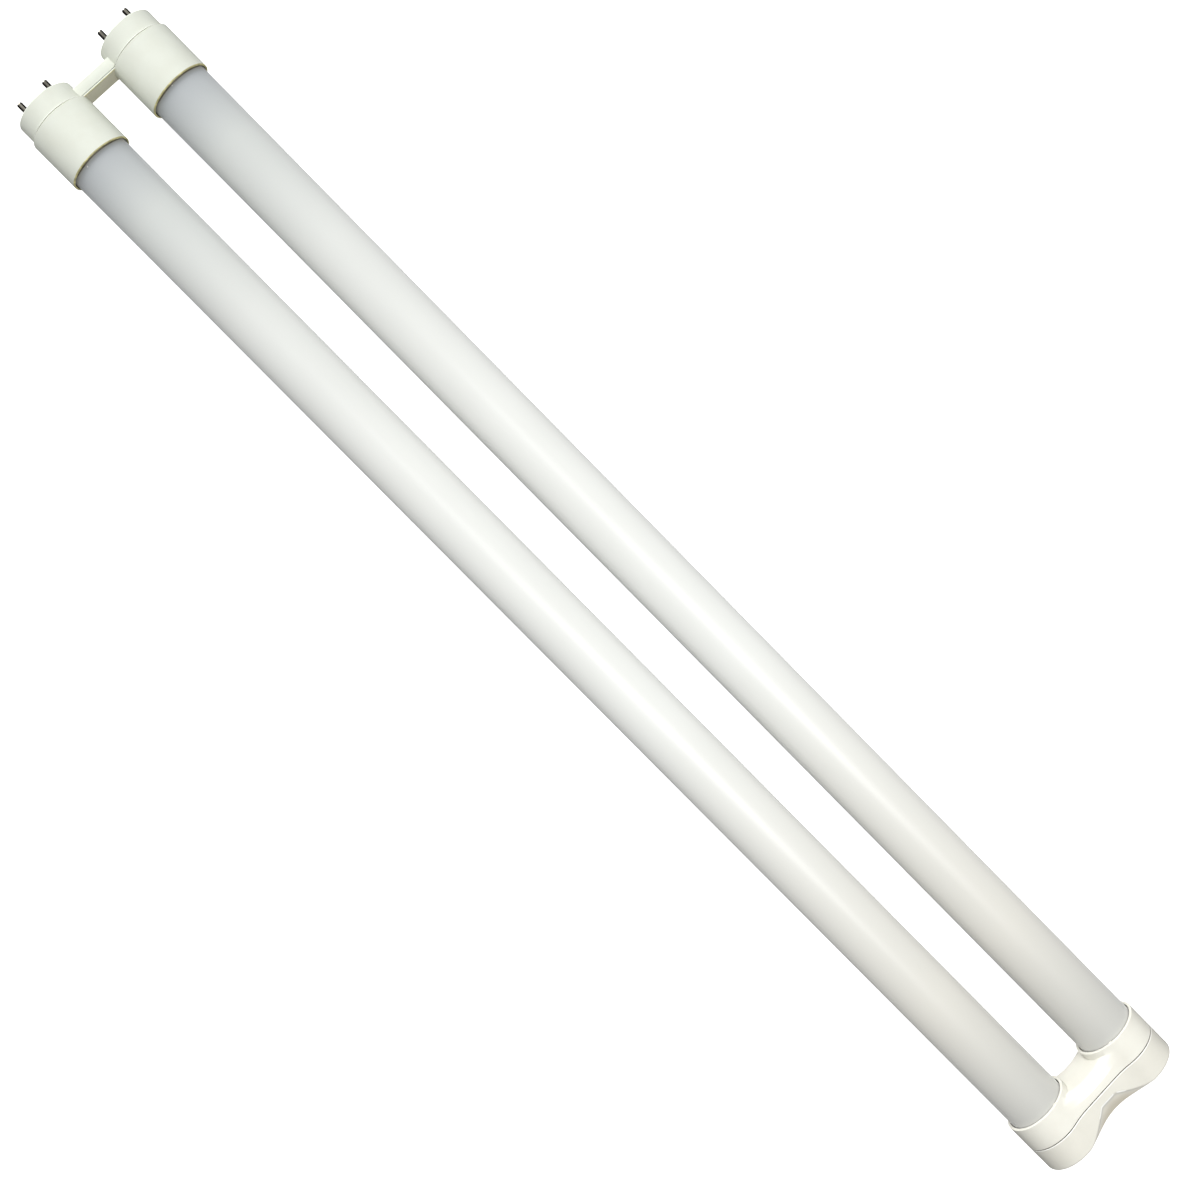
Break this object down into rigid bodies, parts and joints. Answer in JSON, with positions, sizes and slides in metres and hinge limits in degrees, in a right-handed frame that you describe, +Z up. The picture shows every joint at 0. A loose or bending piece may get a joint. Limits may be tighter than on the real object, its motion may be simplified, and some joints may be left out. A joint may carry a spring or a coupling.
{
  "type": "u-bend led tube lamp",
  "caption": "U-shaped LED tube lamp: two parallel frosted tubes with bi-pin caps joined by a bridge at one end and a moulded return bend at the other.",
  "frame": {"origin": "centre of the lamp's box, on the plane it lies on", "axes": "+X along the legs from the contact pins to the return bend, +Y from the right leg to the left leg, +Z up through the light-emitting side"},
  "size_m": [0.5788, 0.0692, 0.028],
  "materials": {
    "frosted_diffuser": "frosted satin",
    "cap_plastic": "satin",
    "bend_plastic": "satin",
    "pin_metal": "nickelled, bright with dark reflections",
    "seal_bead": "matte",
    "gasket_foam": "matte",
    "carrier_aluminium": "mill",
    "led_board": "solder resist",
    "driver_laminate": "solder resist",
    "sleeve_film": "film",
    "black_component": "moulded",
    "transformer_tape": "tape",
    "fuse_ceramic": "ceramic",
    "ferrite": "sintered",
    "wire_white": "insulation",
    "wire_black": "insulation",
    "wire_red": "insulation"
  },
  "bodies": {
    "root": {"bend_collar": "bend_plastic", "bend_cover": "bend_plastic", "bend_gasket_left": "gasket_foam", "bend_gasket_right": "gasket_foam", "board_carrier_left": "carrier_aluminium", "board_carrier_right": "carrier_aluminium", "bridge_duct": "cap_plastic", "bridge_lid": "cap_plastic", "cap_collar_left": "cap_plastic", "cap_collar_right": "cap_plastic", "cap_seal_left": "seal_bead", "cap_seal_right": "seal_bead", "contact_pin_left_inner": "pin_metal", "contact_pin_left_outer": "pin_metal", "contact_pin_right_inner": "pin_metal", "contact_pin_right_outer": "pin_metal", "diffuser_tube_left": "frosted_diffuser", "diffuser_tube_right": "frosted_diffuser", "driver_board": "driver_laminate", "driver_capacitor": "black_component", "driver_choke": "ferrite", "driver_fuse": "fuse_ceramic", "driver_rectifier": "black_component", "driver_sleeve": "sleeve_film", "driver_transformer": "transformer_tape", "led_board_left": "led_board", "led_board_right": "led_board", "link_wire_negative": "wire_black", "link_wire_positive": "wire_red", "output_lead_negative": "wire_black", "output_lead_positive": "wire_red", "pin_cap_left": "cap_plastic", "pin_cap_right": "cap_plastic", "pin_lead_left_inner": "wire_white", "pin_lead_left_outer": "wire_white", "pin_lead_right_inner": "wire_black", "pin_lead_right_outer": "wire_black"}
  },
  "joints": []
}
